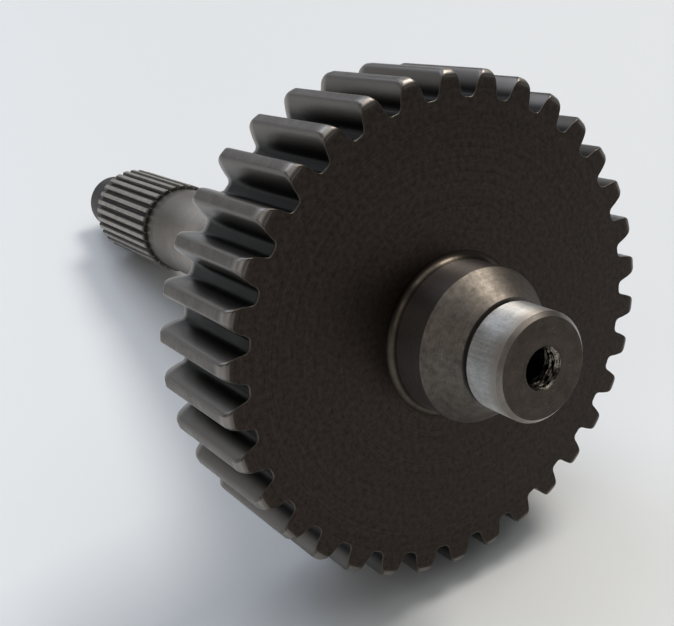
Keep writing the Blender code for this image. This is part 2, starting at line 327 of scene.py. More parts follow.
def rounded(corners):
    """Points along a turned profile, with its corners rounded.

    `corners` are (x, radius, rounding, zone of the stretch that follows, and the rounding's own zone where
    it has one). Beside each rounding comes a narrow band, so that the shading of the straight stretches
    stays true.
    """
    points = [(Vector(corners[0][:2]), corners[0][3])]
    for before, corner, after in zip(corners, corners[1:], corners[2:]):
        here = Vector(corner[:2])
        way_in = (here - Vector(before[:2])).normalized()
        way_out = (Vector(after[:2]) - here).normalized()
        turn = way_in.angle(way_out)
        cut = corner[2] * math.tan(turn / 2.0)
        room = min((here - Vector(before[:2])).length, (Vector(after[:2]) - here).length)
        cut = min(cut, CORNER_ROOM * room)
        band = min(EDGE_BAND, BAND_ROOM * room)
        start = here - way_in * cut
        end = here + way_out * cut
        steps = max(2, math.ceil(turn / ARC_STEP))
        points.append((start - way_in * band, before[3]))
        for step in range(steps + 1):
            t = step / steps
            bend = start * (1 - t) ** 2 + here * 2 * t * (1 - t) + end * t ** 2
            own = corner[4] if len(corner) > 4 and t < 1.0 else None
            points.append((bend, own or (before[3] if t < 0.5 else corner[3])))
        points.append((end + way_out * band, corner[3]))
    points.append((Vector(corners[-1][:2]), corners[-1][3]))
    return points


def turned_strip(bm, corners, half_angle):
    """A wedge's strip of turned surface through the corners. Returns its first and last row."""
    profile = rounded(corners)
    rows = [arc_row(bm, point.x, point.y, half_angle) for point, _ in profile]
    for (row, following), (_, name) in zip(zip(rows, rows[1:]), profile):
        skin(bm, [row, following], lambda i, j, name=name: name)
    return rows[0], rows[-1]


def tooth_end_depths(chamfer):
    """How deep each row over a tooth's rounded end lies, from the end face to the full tooth."""
    return [chamfer * (1.0 - math.cos(math.radians(turn))) for turn in range(0, 91, TOOTH_END_STEP)]


def toothed_wedge(bm, cut, front, back, chamfer, face_zone, flank_zone, rim_zone, tip_zone):
    """A tooth between two flat ends. Returns the rows that lie flat in its two end faces."""
    depths = tooth_end_depths(chamfer)
    inner = depths + [chamfer + 2.0 * EDGE_BAND]
    rows = [tooth_row(bm, cut, front, 0.0, chamfer, extra=EDGE_BAND)]
    rows += [tooth_row(bm, cut, front - depth, depth, chamfer) for depth in inner]
    rows += [tooth_row(bm, cut, back + depth, depth, chamfer, cut.back_rims) for depth in reversed(inner)]
    rows += [tooth_row(bm, cut, back, 0.0, chamfer, cut.back_rims, EDGE_BAND)]

    columns = len(rows[0]) - 1
    first_tip = cut.root_steps + cut.flank_steps + cut.edge_steps
    front_rims = sum(depth < cut.flank_rim for depth in depths)
    back_rims = sum(depth < cut.back_rims * cut.flank_rim for depth in depths)

    def name_at(i, j):
        from_back = len(rows) - 2 - i
        if i == 0 or from_back == 0:
            return face_zone
        if first_tip <= j < columns - first_tip:
            return tip_zone
        return rim_zone if i <= front_rims or from_back <= back_rims else flank_zone

    skin(bm, rows, name_at)
    return rows[0], rows[-1]


def gear_wedge():
    """One gear tooth's share of the gear end: end face, journal, cone, hub, both gear faces and a tooth."""
    bm = new_part()
    half_angle = math.pi / GEAR.teeth
    root = GEAR.teeth * GEAR.module / 2.0 - GEAR.dedendum
    face_edge = root - GEAR_FACE_BAND
    cone_end = HUB_LENGTH + CONE_LENGTH
    journal_start = cone_end + UNDERCUT_WIDTH
    floor = JOURNAL_RADIUS - UNDERCUT_DEPTH
    front = [
        (0.0, face_edge, 0.0, "gear_face"),
        (0.0, HUB_RADIUS, HUB_FILLET, "hub", "fillet"),
        (HUB_LENGTH, HUB_RADIUS, 0.30 * MM, "cone"),
        (cone_end, JOURNAL_RADIUS + CONE_STEP, 0.12 * MM, "undercut"),
        (cone_end + UNDERCUT_WALL, floor, 0.12 * MM, "undercut"),
        (journal_start - UNDERCUT_WALL, floor, 0.12 * MM, "undercut"),
        (journal_start, JOURNAL_RADIUS, 0.08 * MM, "journal"),
        (JOURNAL_END - JOURNAL_CHAMFER, JOURNAL_RADIUS, 0.10 * MM, "journal_edge"),
        (JOURNAL_END, JOURNAL_RADIUS - JOURNAL_CHAMFER, 0.10 * MM, "end_face"),
        (JOURNAL_END, END_FACE_INNER_RADIUS, 0.0, "end_face"),
    ]
    face_arc, _ = turned_strip(bm, front, half_angle)
    front_row, back_row = toothed_wedge(
        bm, GEAR, 0.0, -GEAR_WIDTH, GEAR_TIP_CHAMFER, "gear_face", "gear_flank", "gear_rim", "gear_tip",
    )
    flat_wedge(bm, face_arc, front_row, "gear_face")
    back_rows = [
        arc_row(bm, -GEAR_WIDTH, face_edge, half_angle),
        arc_row(bm, -GEAR_WIDTH, GEAR_BACK_OUTER_RADIUS, half_angle),
    ]
    skin(bm, back_rows, lambda i, j: "gear_face")
    flat_wedge(bm, back_rows[0], back_row, "gear_face")
    return mesh_of(bm, "gear_wedge")


def spline_wedge():
    """One spline tooth's share of the shaft behind the gear: collar, seat, shaft, neck, tooth and nose."""
    bm = new_part()
    half_angle = math.pi / SPLINE.teeth
    root = SPLINE.teeth * SPLINE.module / 2.0 - SPLINE.dedendum
    collar_end = -GEAR_WIDTH - COLLAR_LENGTH
    seat_end = collar_end - SEAT_LENGTH
    shaft_start = seat_end - SEAT_TAPER
    shaft_end = shaft_start - SHAFT_LENGTH
    spline_end = SPLINE_START - SPLINE_LENGTH
    neck_radius = root - NECK_DEPTH
    rear = [
        (-GEAR_WIDTH, GEAR_BACK_INNER_RADIUS, 0.0, "gear_face"),
        (-GEAR_WIDTH, COLLAR_RADIUS, HUB_FILLET, "shaft"),
        (collar_end + COLLAR_CHAMFER, COLLAR_RADIUS, 0.15 * MM, "shaft"),
        (collar_end, COLLAR_RADIUS - COLLAR_CHAMFER, 0.15 * MM, "shaft"),
        (collar_end, SEAT_RADIUS, SEAT_FILLET, "shaft"),
        (seat_end, SEAT_RADIUS, 1.0 * MM, "shaft"),
        (shaft_start, SHAFT_RADIUS, 2.0 * MM, "shaft"),
        (shaft_end, SHAFT_RADIUS, 12.0 * MM, "neck"),
        (shaft_end - NECK_SLOPE, neck_radius, 12.0 * MM, "neck"),
        (SPLINE_START, neck_radius, 0.0, "neck"),
    ]
    _, neck_arc = turned_strip(bm, rear, half_angle)
    front_row, back_row = toothed_wedge(
        bm, SPLINE, SPLINE_START, spline_end, SPLINE_CHAMFER, "neck", "spline_groove", "spline_groove",
        "spline_land",
    )
    flat_wedge(bm, neck_arc, front_row, "neck")
    nose = [
        (spline_end, root - SPLINE_FACE_BAND, 0.0, "nose"),
        (spline_end, NOSE_RADIUS, NOSE_FILLET, "nose"),
        (NOSE_END + NOSE_CHAMFER, NOSE_RADIUS, 0.2 * MM, "nose"),
        (NOSE_END, NOSE_RADIUS - NOSE_CHAMFER, 0.2 * MM, "nose"),
        (NOSE_END, NOSE_FACE_INNER_RADIUS, 0.0, "nose"),
    ]
    nose_arc, _ = turned_strip(bm, nose, half_angle)
    flat_wedge(bm, nose_arc, back_row, "nose")
    return mesh_of(bm, "spline_wedge")


def mesh_of(bm, name):
    """Turn a bmesh into a mesh and free it."""
    mesh = bpy.data.meshes.new(name)
    bm.to_mesh(mesh)
    bm.free()
    return mesh


def add(tree, kind, inputs=None, **settings):
    """Add a node, with its settings, and set or link its inputs by name or number.

    An input may be a value, a socket, or a node, whose first output is meant.
    """
    node = tree.nodes.new(kind)
    for name, value in settings.items():
        setattr(node, name, value)
    for key, value in (inputs or {}).items():
        if isinstance(value, bpy.types.Node):
            value = value.outputs[0]
        if isinstance(value, bpy.types.NodeSocket):
            tree.links.new(value, node.inputs[key])
        else:
            node.inputs[key].default_value = value
    return node


def new_tree(name, inputs):
    """A geometry node tree with named inputs. Returns it, its input node and the inputs' identifiers."""
    tree = bpy.data.node_groups.new(name, "GeometryNodeTree")
    interface = tree.interface
    interface.new_socket("Geometry", in_out="OUTPUT", socket_type="NodeSocketGeometry")
    interface.new_socket("Geometry", in_out="INPUT", socket_type="NodeSocketGeometry")
    names = {}
    for label, socket_type in inputs.items():
        item = interface.new_socket(label, in_out="INPUT", socket_type=socket_type)
        names[label] = item.identifier
    return tree, tree.nodes.new("NodeGroupInput"), names


def grown(mesh, tree, names, values):
    """Run a node tree on a mesh and return the plain mesh that it makes."""
    item = bpy.data.objects.new(mesh.name, mesh)
    bpy.context.scene.collection.objects.link(item)
    modifier = item.modifiers.new(tree.name, "NODES")
    modifier.node_group = tree
    for label, value in values.items():
        modifier[names[label]] = value
    item.update_tag()
    bpy.context.view_layer.update()
    seen = item.evaluated_get(bpy.context.evaluated_depsgraph_get())
    result = bpy.data.meshes.new_from_object(seen)
    item.modifiers.remove(modifier)
    bpy.data.objects.remove(item)
    return result


def zone_materials(tree, geometry, finishes):
    """End a tree: real geometry, with the material of its zone on every face."""
    given = add(tree, "GeometryNodeInputNamedAttribute", {"Name": "zone"}, data_type="INT")
    marked = add(tree, "GeometryNodeRealizeInstances", {0: geometry})
    for number, finish in enumerate(finishes):
        chosen = add(
            tree, "FunctionNodeCompare", {2: given.outputs["Attribute"], 3: number},
            data_type="INT", operation="EQUAL",
        )
        marked = add(
            tree, "GeometryNodeSetMaterial",
            {"Geometry": marked, "Selection": chosen.outputs["Result"], "Material": finish},
        )
    add(tree, "NodeGroupOutput", {0: marked})


def wedges_round_axis(finishes):
    """A tree that repeats a wedge round the X axis and joins the copies."""
    inputs = {"Count": "NodeSocketInt", "First Angle": "NodeSocketFloat", "Merge Distance": "NodeSocketFloat"}
    tree, given, names = new_tree("wedges round the axis", inputs)
    single = add(tree, "GeometryNodeGeometryToInstance", {0: given.outputs["Geometry"]})
    copies = add(
        tree, "GeometryNodeDuplicateElements",
        {"Geometry": single, "Amount": given.outputs["Count"]}, domain="INSTANCE",
    )
    share = add(
        tree, "ShaderNodeMath", {0: copies.outputs["Duplicate Index"], 1: given.outputs["Count"]},
        operation="DIVIDE",
    )
    angle = add(
        tree, "ShaderNodeMath", {0: share, 1: 2.0 * math.pi, 2: given.outputs["First Angle"]},
        operation="MULTIPLY_ADD",
    )
    turn = add(tree, "ShaderNodeCombineXYZ", {"X": angle})
    placed = add(
        tree, "GeometryNodeRotateInstances",
        {"Instances": copies.outputs["Geometry"], "Rotation": turn},
    )
    real = add(tree, "GeometryNodeRealizeInstances", {0: placed})
    joined = add(
        tree, "GeometryNodeMergeByDistance",
        {"Geometry": real, "Distance": given.outputs["Merge Distance"]},
    )
    zone_materials(tree, joined, finishes)
    return tree, names


def threaded_hole(finishes):
    """A tree that bends a grid round the X axis into the wall of a tapped hole, mouth first.

    The thread is cut outwards from the core, with flats at its crests and roots, inside the countersink at
    the mouth, and it runs out at the end of the tap's cut.
    """
    labels = (
        "Mouth Position", "Mouth Radius", "Core Radius", "Thread Depth", "Pitch", "Cut Length", "Hole Depth",
        "Merge Distance",
    )
    tree, given, names = new_tree("threaded hole", dict.fromkeys(labels, "NodeSocketFloat"))
    size = given.outputs

    place = add(tree, "ShaderNodeSeparateXYZ", {0: add(tree, "GeometryNodeInputPosition")})
    turn = add(tree, "ShaderNodeMath", {0: place.outputs["X"], 1: 0.5}, operation="ADD")
    share = add(tree, "ShaderNodeMath", {0: 0.5, 1: place.outputs["Y"]}, operation="SUBTRACT")
    depth = add(tree, "ShaderNodeMath", {0: share, 1: size["Hole Depth"]}, operation="MULTIPLY")
    angle = add(tree, "ShaderNodeMath", {0: turn, 1: 2.0 * math.pi}, operation="MULTIPLY")

    # Distance from the middle of the thread's groove, 0 there and 1 on the crest between two turns
    turns = add(tree, "ShaderNodeMath", {0: depth, 1: size["Pitch"]}, operation="DIVIDE")
    wound = add(tree, "ShaderNodeMath", {0: turns, 1: turn}, operation="ADD")
    phase = add(tree, "ShaderNodeMath", {0: wound}, operation="FRACT")
    centred = add(tree, "ShaderNodeMath", {0: phase, 1: 2.0, 2: -1.0}, operation="MULTIPLY_ADD")
    from_groove = add(tree, "ShaderNodeMath", {0: centred}, operation="ABSOLUTE")
    groove = add(
        tree, "ShaderNodeMapRange",
        {"Value": from_groove, "From Min": 1.0 - THREAD_CREST_FLAT, "From Max": THREAD_ROOT_FLAT},
    )
    tap_end = add(tree, "ShaderNodeMath", {0: size["Cut Length"], 1: size["Pitch"]}, operation="ADD")
    run_out = add(
        tree, "ShaderNodeMapRange", {"Value": depth, "From Min": tap_end, "From Max": size["Cut Length"]},
    )
    left = add(tree, "ShaderNodeMath", {0: groove, 1: run_out}, operation="MULTIPLY")
    cut = add(tree, "ShaderNodeMath", {0: left, 1: size["Thread Depth"]}, operation="MULTIPLY")
    threaded = add(tree, "ShaderNodeMath", {0: cut, 1: size["Core Radius"]}, operation="ADD")
    countersink = add(tree, "ShaderNodeMath", {0: size["Mouth Radius"], 1: depth}, operation="SUBTRACT")
    radius = add(tree, "ShaderNodeMath", {0: threaded, 1: countersink}, operation="MAXIMUM")

    along = add(tree, "ShaderNodeMath", {0: size["Mouth Position"], 1: depth}, operation="SUBTRACT")
    sine = add(tree, "ShaderNodeMath", {0: angle}, operation="SINE")
    cosine = add(tree, "ShaderNodeMath", {0: angle}, operation="COSINE")
    upward = add(tree, "ShaderNodeMath", {0: cosine, 1: -1.0}, operation="MULTIPLY")
    aside = add(tree, "ShaderNodeMath", {0: radius, 1: sine}, operation="MULTIPLY")
    above = add(tree, "ShaderNodeMath", {0: radius, 1: upward}, operation="MULTIPLY")
    wall = add(tree, "ShaderNodeCombineXYZ", {"X": along, "Y": aside, "Z": above})
    bent = add(
        tree, "GeometryNodeSetPosition", {"Geometry": size["Geometry"], "Position": wall},
    )
    closed = add(
        tree, "GeometryNodeMergeByDistance",
        {"Geometry": bent, "Distance": size["Merge Distance"]},
    )
    zone_materials(tree, closed, finishes)
    return tree, names


def hole_grid():
    """A flat grid one metre square, finer near its mouth edge, that the thread's tree bends into a tube."""
    bm = new_part()
    rows = []
    for row in range(HOLE_ROWS + 1):
        share = row / HOLE_ROWS
        y = 0.5 - share ** HOLE_CROWDING
        places = [column / HOLE_COLUMNS - 0.5 for column in range(HOLE_COLUMNS + 1)]
        rows.append([bm.verts.new((x, y, 0.0)) for x in places])
    skin(bm, rows, lambda i, j: "thread")
    return mesh_of(bm, "hole_grid")


def open_ring(bm, x, radius):
    """The vertices of the open edge at this distance along the axis and this radius, in order round it."""
    found = set()
    for edge in bm.edges:
        if edge.is_boundary:
            for vert in edge.verts:
                off = abs(vert.co.x - x) + abs(math.hypot(vert.co.y, vert.co.z) - radius)
                if off < RING_TOLERANCE:
                    found.add(vert)
    return sorted(found, key=lambda vert: math.atan2(vert.co.y, -vert.co.z))


def ring_angles(ring):
    """The angle of each vertex about the axis, counted upwards, and the first again after a full turn."""
    start = math.atan2(ring[0].co.y, -ring[0].co.z)
    angles = [start + (math.atan2(vert.co.y, -vert.co.z) - start) % (2.0 * math.pi) for vert in ring]
    return angles + [start + 2.0 * math.pi]


def flat_annulus(bm, outer, inner, name):
    """Triangles between two rings on one plane, taken in step with their angles about the axis."""
    outer_angles = ring_angles(outer)
    inner_angles = ring_angles(inner)
    i = 0
    j = 0
    while i < len(outer) or j < len(inner):
        here = outer[i % len(outer)]
        across = inner[j % len(inner)]
        if j == len(inner) or (i < len(outer) and outer_angles[i + 1] <= inner_angles[j + 1]):
            i += 1
            add_face(bm, (here, outer[i % len(outer)], across), name)
        else:
            j += 1
            add_face(bm, (here, inner[j % len(inner)], across), name)


def cone_to_point(bm, ring, x, name):
    """Close a ring with a cone whose point lies on the axis."""
    point = bm.verts.new((x, 0.0, 0.0))
    for i in range(len(ring)):
        add_face(bm, (ring[i], ring[(i + 1) % len(ring)], point), name)


def build_shaft(finishes):
    """The whole shaft as one closed mesh along its own axis, with a material for every zone."""
    round_axis, round_names = wedges_round_axis(finishes)
    tapped, tapped_names = threaded_hole(finishes)
    gear_end = grown(
        gear_wedge(), round_axis, round_names,
        {"Count": GEAR.teeth, "First Angle": math.pi / GEAR.teeth, "Merge Distance": MERGE_DISTANCE},
    )
    spline_end = grown(
        spline_wedge(), round_axis, round_names,
        {"Count": SPLINE.teeth, "First Angle": SPLINE_PHASE, "Merge Distance": MERGE_DISTANCE},
    )
    hole = grown(
        hole_grid(), tapped, tapped_names,
        {"Mouth Position": JOURNAL_END, "Mouth Radius": HOLE_MOUTH_RADIUS, "Core Radius": THREAD_CORE_RADIUS,
         "Thread Depth": THREAD_DEPTH, "Pitch": THREAD_PITCH, "Cut Length": THREAD_LENGTH,
         "Hole Depth": HOLE_DEPTH, "Merge Distance": MERGE_DISTANCE},
    )
    bm = new_part()
    for part in (gear_end, spline_end, hole):
        bm.from_mesh(part)

    for x, outer, inner, name in (
        (JOURNAL_END, END_FACE_INNER_RADIUS, HOLE_MOUTH_RADIUS, "end_face"),
        (-GEAR_WIDTH, GEAR_BACK_OUTER_RADIUS, GEAR_BACK_INNER_RADIUS, "gear_face"),
    ):
        flat_annulus(bm, open_ring(bm, x, outer), open_ring(bm, x, inner), name)
    hole_bottom = JOURNAL_END - HOLE_DEPTH
    cone_to_point(
        bm, open_ring(bm, hole_bottom, THREAD_CORE_RADIUS),
        hole_bottom - THREAD_CORE_RADIUS / math.tan(HOLE_POINT_ANGLE / 2.0), "thread",
    )
    angles = [2.0 * math.pi * i / CENTRE_COLUMNS for i in range(CENTRE_COLUMNS)]
    mouth = [bm.verts.new(around(NOSE_END, angle, CENTRE_RADIUS)) for angle in angles]
    flat_annulus(bm, open_ring(bm, NOSE_END, NOSE_FACE_INNER_RADIUS), mouth, "nose")
    cone_to_point(bm, mouth, NOSE_END + CENTRE_RADIUS / math.tan(CENTRE_ANGLE / 2.0), "nose")

    bmesh.ops.recalc_face_normals(bm, faces=bm.faces)
    layer = bm.faces.layers.int["zone"]
    for face in bm.faces:
        face.material_index = face[layer]
    mesh = mesh_of(bm, "shaft")
    for finish in finishes:
        mesh.materials.append(finish)
    mesh.shade_smooth()
    mesh.set_sharp_from_angle(angle=SMOOTH_BELOW)
    return mesh


def laid_down(record):
    """The matrix from the shaft's own axes to where it lies, from the mount on its end face."""
    mount = next(item for item in record["mounts"] if item["name"] == "journal_end_face")
    along = Vector(mount["axis"]).normalized()
    across = Vector((0.0, 1.0, 0.0))
    up = along.cross(across)
    place = Vector(mount["pos_m"]) - along * JOURNAL_END - up * END_FACE_MOUNT_HEIGHT
    axes = Matrix((along, across, up)).transposed().to_4x4()
    return Matrix.Translation(place) @ axes


def linear(code):
    """An sRGB hex colour as linear red, green, blue and alpha."""
    values = [int(code[i:i + 2], 16) / 255.0 for i in (1, 3, 5)]
    return [v / 12.92 if v <= 0.04045 else ((v + 0.055) / 1.055) ** 2.4 for v in values] + [1.0]


def shaft_coordinates(lie):
    """A node group that gives each point in the shaft's own axes.

    `Point` runs along the axis in X. `Turned` changes quickly along the axis and outwards and slowly round
    it, as the marks of a lathe or a grinding wheel do. `Drawn` changes quickly round the axis and slowly
    along it. `Axis` is the axis itself, `Along` the place along it and `Radius` the distance from it.
    """
    tree = bpy.data.node_groups.new("shaft coordinates", "ShaderNodeTree")
    for name in ("Point", "Turned", "Drawn", "Axis"):
        tree.interface.new_socket(name, in_out="OUTPUT", socket_type="NodeSocketVector")
    for name in ("Along", "Radius"):
        tree.interface.new_socket(name, in_out="OUTPUT", socket_type="NodeSocketFloat")
    world = add(tree, "ShaderNodeTexCoord")
    point = add(
        tree, "ShaderNodeMapping",
        {"Vector": world.outputs["Object"], "Location": lie.translation, "Rotation": lie.to_euler()},
        vector_type="TEXTURE",
    )
    parts = add(tree, "ShaderNodeSeparateXYZ", {0: point})
    outward = add(tree, "ShaderNodeCombineXYZ", {"Y": parts.outputs["Y"], "Z": parts.outputs["Z"]})
    radius = add(tree, "ShaderNodeVectorMath", {0: outward}, operation="LENGTH")
    side = add(tree, "ShaderNodeVectorMath", {0: outward}, operation="NORMALIZE")
    ahead = add(tree, "ShaderNodeCombineXYZ", {"X": parts.outputs["X"], "Y": radius.outputs["Value"]})
    turned = add(
        tree, "ShaderNodeVectorMath",
        {0: side, 1: (MARK_DRIFT,) * 3, 2: ahead}, operation="MULTIPLY_ADD",
    )
    drawn = add(
        tree, "ShaderNodeMapping", {"Vector": point, "Scale": (1.0 / MARK_STRETCH, 1.0, 1.0)},
    )
    along = lie.col[0]
    axis = add(tree, "ShaderNodeCombineXYZ", {"X": along.x, "Y": along.y, "Z": along.z})
    add(
        tree, "NodeGroupOutput",
        {"Point": point, "Turned": turned, "Drawn": drawn,
         "Axis": axis, "Along": parts.outputs["X"], "Radius": radius.outputs["Value"]},
    )
    return tree


def steel(
    name, axes, low, high, roughness, cloud, grain, marks, relief, spread=0.08, contrast=1.0, way="Turned",
    stretch=0.0, tarnish_and_painted_light=(), scratches=0.0,
):
    """Bare or oxidised steel as a tool left it.

    `low` and `high` are its darkest and lightest tones. `cloud` is the size of its blotches, `grain` that of
    its finest speckle and `marks` the width of its tool marks, in metres, which run the way that `way` says.
    `relief` is the depth of grain and marks, and `spread` how far the roughness varies. `stretch` draws its
    highlights out along the shaft, across the rings. Each of `tarnish_and_painted_light` is (measure, start,
    end, tone): the steel turns to that tone where `Along` or `Radius` goes from start to end. Most of these
    bands are painted light and shade; the journal's is a tarnish. `scratches` is the length of the few short
    pale strokes that handling has left, or 0 for none.
    """
    material = bpy.data.materials.new(name)
    material.use_nodes = True
    tree = material.node_tree
    shader = tree.nodes["Principled BSDF"]
    place = add(tree, "ShaderNodeGroup", node_tree=axes)

    patterns = []
    for output, size, detail, rough in (
        ("Point", cloud, 4.0, 0.6), ("Point", grain, 2.0, 0.6), (way, marks, 3.0, 0.7),
    ):
        pattern = add(
            tree, "ShaderNodeTexNoise",
            {"Vector": place.outputs[output], "Scale": 1.0 / size, "Detail": detail, "Roughness": rough},
        )
        patterns.append(pattern.outputs["Fac"])
    blotches, speckle, lines = patterns
    fine = add(tree, "ShaderNodeMix", {0: 0.5, 2: speckle, 3: lines})
    tone = add(tree, "ShaderNodeMix", {0: 0.5, 2: blotches, 3: fine})
    steep = add(
        tree, "ShaderNodeMapRange",
        {"Value": tone, "From Min": PATTERN_MIDDLE - PATTERN_REACH / contrast,
         "From Max": PATTERN_MIDDLE + PATTERN_REACH / contrast},
    )
    colour = add(
        tree, "ShaderNodeMix", {0: steep, 6: linear(low), 7: linear(high)}, data_type="RGBA",
    )
    shade = colour.outputs[2]
    # Bands of painted light and shade, and the journal's tarnish
    for measure, start, end, code in tarnish_and_painted_light:
        reach = add(
            tree, "ShaderNodeMapRange", {"Value": place.outputs[measure], "From Min": start, "From Max": end},
            interpolation_type="SMOOTHSTEP",
        )
        shade = add(
            tree, "ShaderNodeMix", {0: reach, 6: shade, 7: linear(code)}, data_type="RGBA",
        ).outputs[2]
    if scratches:
        leaning = add(
            tree, "ShaderNodeMapping",
            {"Vector": place.outputs["Point"], "Rotation": (SCRATCH_LEAN, 0.0, 0.0),
             "Scale": (1.0, 1.0, SCRATCH_THINNESS)},
        )
        strokes = add(
            tree, "ShaderNodeTexNoise",
            {"Vector": leaning, "Scale": 1.0 / scratches, "Detail": 1.0, "Roughness": 0.5},
        )
        cut = add(
            tree, "ShaderNodeMapRange",
            {"Value": strokes.outputs["Fac"], "From Min": SCRATCH_START, "From Max": SCRATCH_FULL},
        )
        shade = add(
            tree, "ShaderNodeMix", {0: cut, 6: shade, 7: linear(SCRATCH_TONE)}, data_type="RGBA",
        ).outputs[2]
    gloss = add(
        tree, "ShaderNodeMapRange",
        {"Value": tone, "From Min": PATTERN_MIDDLE - PATTERN_REACH,
         "From Max": PATTERN_MIDDLE + PATTERN_REACH,
         "To Min": roughness + spread, "To Max": roughness - spread},
    )
    bump = add(tree, "ShaderNodeBump", {"Height": fine, "Distance": relief, "Strength": 1.0})
    if stretch:
        shader.inputs["Anisotropic"].default_value = stretch
        tree.links.new(place.outputs["Axis"], shader.inputs["Tangent"])
    tree.links.new(shade, shader.inputs["Base Color"])
    tree.links.new(gloss.outputs[0], shader.inputs["Roughness"])
    tree.links.new(bump.outputs[0], shader.inputs["Normal"])
    shader.inputs["Metallic"].default_value = 1.0
    return material


def finishes_of_shaft(axes):
    """The finish of each zone, in the order of ZONES."""
    made = {}

    # Heat-treatment oxide on the rough-turned faces: almost black brown, dull, with a fine even grain
    made["gear_face"] = steel(
        "oxidised_steel_turned_face", axes, "#28231E", "#433B36", roughness=0.40,
        cloud=1.0 * MM, grain=0.26 * MM, marks=0.4 * MM, relief=0.030 * MM,
        # Paler in a band near the tips: a painted highlight that carries the glint of the rounded tooth ends
        # onto the face
        contrast=1.3, tarnish_and_painted_light=[("Radius", 46.6 * MM, 48.6 * MM, "#524B44")],
    )
    # Hobbed flanks: smooth dark oxide drawn out along the teeth. Painted darker towards the roots, a painted
    # shade and reflection of the neighbouring tooth, and painted lighter towards the tips, where the gap
    # shades them less.
    # Towards the back they turn pale, a painted reflection of the bright floor where the mirrored ray leaves
    # the gap.
    made["gear_flank"] = steel(
        "oxidised_steel_hobbed_flank", axes, "#312F2C", "#4A4743", roughness=0.36,
        cloud=5.0 * MM, grain=0.5 * MM, marks=0.5 * MM, relief=0.010 * MM,
        way="Drawn",
        tarnish_and_painted_light=[
            ("Radius", 47.0 * MM, 45.0 * MM, "#141312"),
            ("Radius", 45.0 * MM, 48.4 * MM, "#6A6662"),
            ("Along", 2.4 * MM - GEAR_WIDTH, 0.2 * MM - GEAR_WIDTH, "#9A9690"),
        ],
    )
    # Edges broken by brushing: bare and a little brighter
    made["gear_rim"] = steel(
        "brushed_steel_tooth_edge", axes, "#46413B", "#655F57", roughness=0.42,
        cloud=3.0 * MM, grain=0.3 * MM, marks=0.3 * MM, relief=0.004 * MM,
    )
    # Turned outside of the teeth: grey and satin. It is painted paler over the rounding of the front end, a
    # painted highlight, and painted dark again where it meets the face, a painted shade.
    made["gear_tip"] = steel(
        "turned_steel_tooth_tip", axes, "#514D49", "#706B66", roughness=0.42,
        cloud=3.0 * MM, grain=0.4 * MM, marks=0.35 * MM, relief=0.008 * MM,
        tarnish_and_painted_light=[("Along", -3.2 * MM, -1.1 * MM, "#8C8782"), ("Along", -0.3 * MM, 0.2 * MM, "#4E4842")],
    )
    # Hollow fillet at the foot of the hub, burnished by the round nose of the tool. It is painted dark where
    # it runs out into the face, a painted shade in that corner.
    made["fillet"] = steel(
        "turned_steel_hub_fillet", axes, "#423C36", "#625B52", roughness=0.34,
        cloud=3.0 * MM, grain=0.4 * MM, marks=0.3 * MM, relief=0.004 * MM,
        stretch=0.75, tarnish_and_painted_light=[("Radius", HUB_RADIUS + 0.4 * MM, HUB_RADIUS + 1.4 * MM, "#2A2620")],
    )
    # Turned hub: dark with a faint violet tint and fine rings
    made["hub"] = steel(
        "oxidised_steel_turned_hub", axes, "#5C5654", "#8C8582", roughness=0.36,
        cloud=4.0 * MM, grain=0.35 * MM, marks=0.3 * MM, relief=0.008 * MM,
        stretch=0.8,
    )
    # Ground shoulder: paler, mottled where the wheel only just touched it
    made["cone"] = steel(
        "ground_steel_shoulder", axes, "#48433E", "#6F6962", roughness=0.45,
        cloud=1.4 * MM, grain=0.30 * MM, marks=0.3 * MM, relief=0.008 * MM,
        contrast=1.15,
    )
    # Narrow groove beside the journal, which the wheel doesn't reach: grey and satin
    made["undercut"] = steel(
        "grooved_steel_undercut", axes, "#4B4744", "#77726C", roughness=0.45,
        cloud=2.0 * MM, grain=0.3 * MM, marks=0.2 * MM, relief=0.006 * MM,
    )
    # Ground bearing journal: the brightest surface. Its rings are too fine to see, but they draw its
    # highlights out along it. It is a little duller beside its chamfer.
    made["journal"] = steel(
        "ground_steel_journal", axes, "#A09F9D", "#D6D7D7", roughness=0.56,
        cloud=5.0 * MM, grain=0.5 * MM, marks=0.5 * MM, relief=0.0010 * MM,
        spread=0.04, contrast=1.6, way="Drawn", stretch=0.82,
        tarnish_and_painted_light=[("Along", JOURNAL_END - 4.0 * MM, JOURNAL_END - 0.8 * MM, "#A8A29B")],
    )
    # Chamfer of the journal, turned and not ground: a narrow ring between the pale journal and the dark end
    made["journal_edge"] = steel(
        "chamfered_steel_edge", axes, "#67625C", "#87817A", roughness=0.34,
        cloud=2.0 * MM, grain=0.3 * MM, marks=0.2 * MM, relief=0.003 * MM,
    )
    # Faced end: dull warm grey with the rings of the facing tool
    made["end_face"] = steel(
        "faced_steel_end", axes, "#3B352F", "#554D45", roughness=0.46,
        cloud=3.0 * MM, grain=0.4 * MM, marks=0.35 * MM, relief=0.012 * MM,
        scratches=2.0 * MM,
    )
    # Tapped thread: sharp glints on the crests near the mouth, and painted black in its depth, a painted
    # shade
    made["thread"] = steel(
        "tapped_steel_thread", axes, "#0A0908", "#9A9286", roughness=0.16,
        cloud=0.8 * MM, grain=0.3 * MM, marks=0.3 * MM, relief=0.003 * MM,
        contrast=2.5, tarnish_and_painted_light=[("Along", JOURNAL_END - 1.0 * MM, JOURNAL_END - 4.0 * MM, "#060505")],
    )
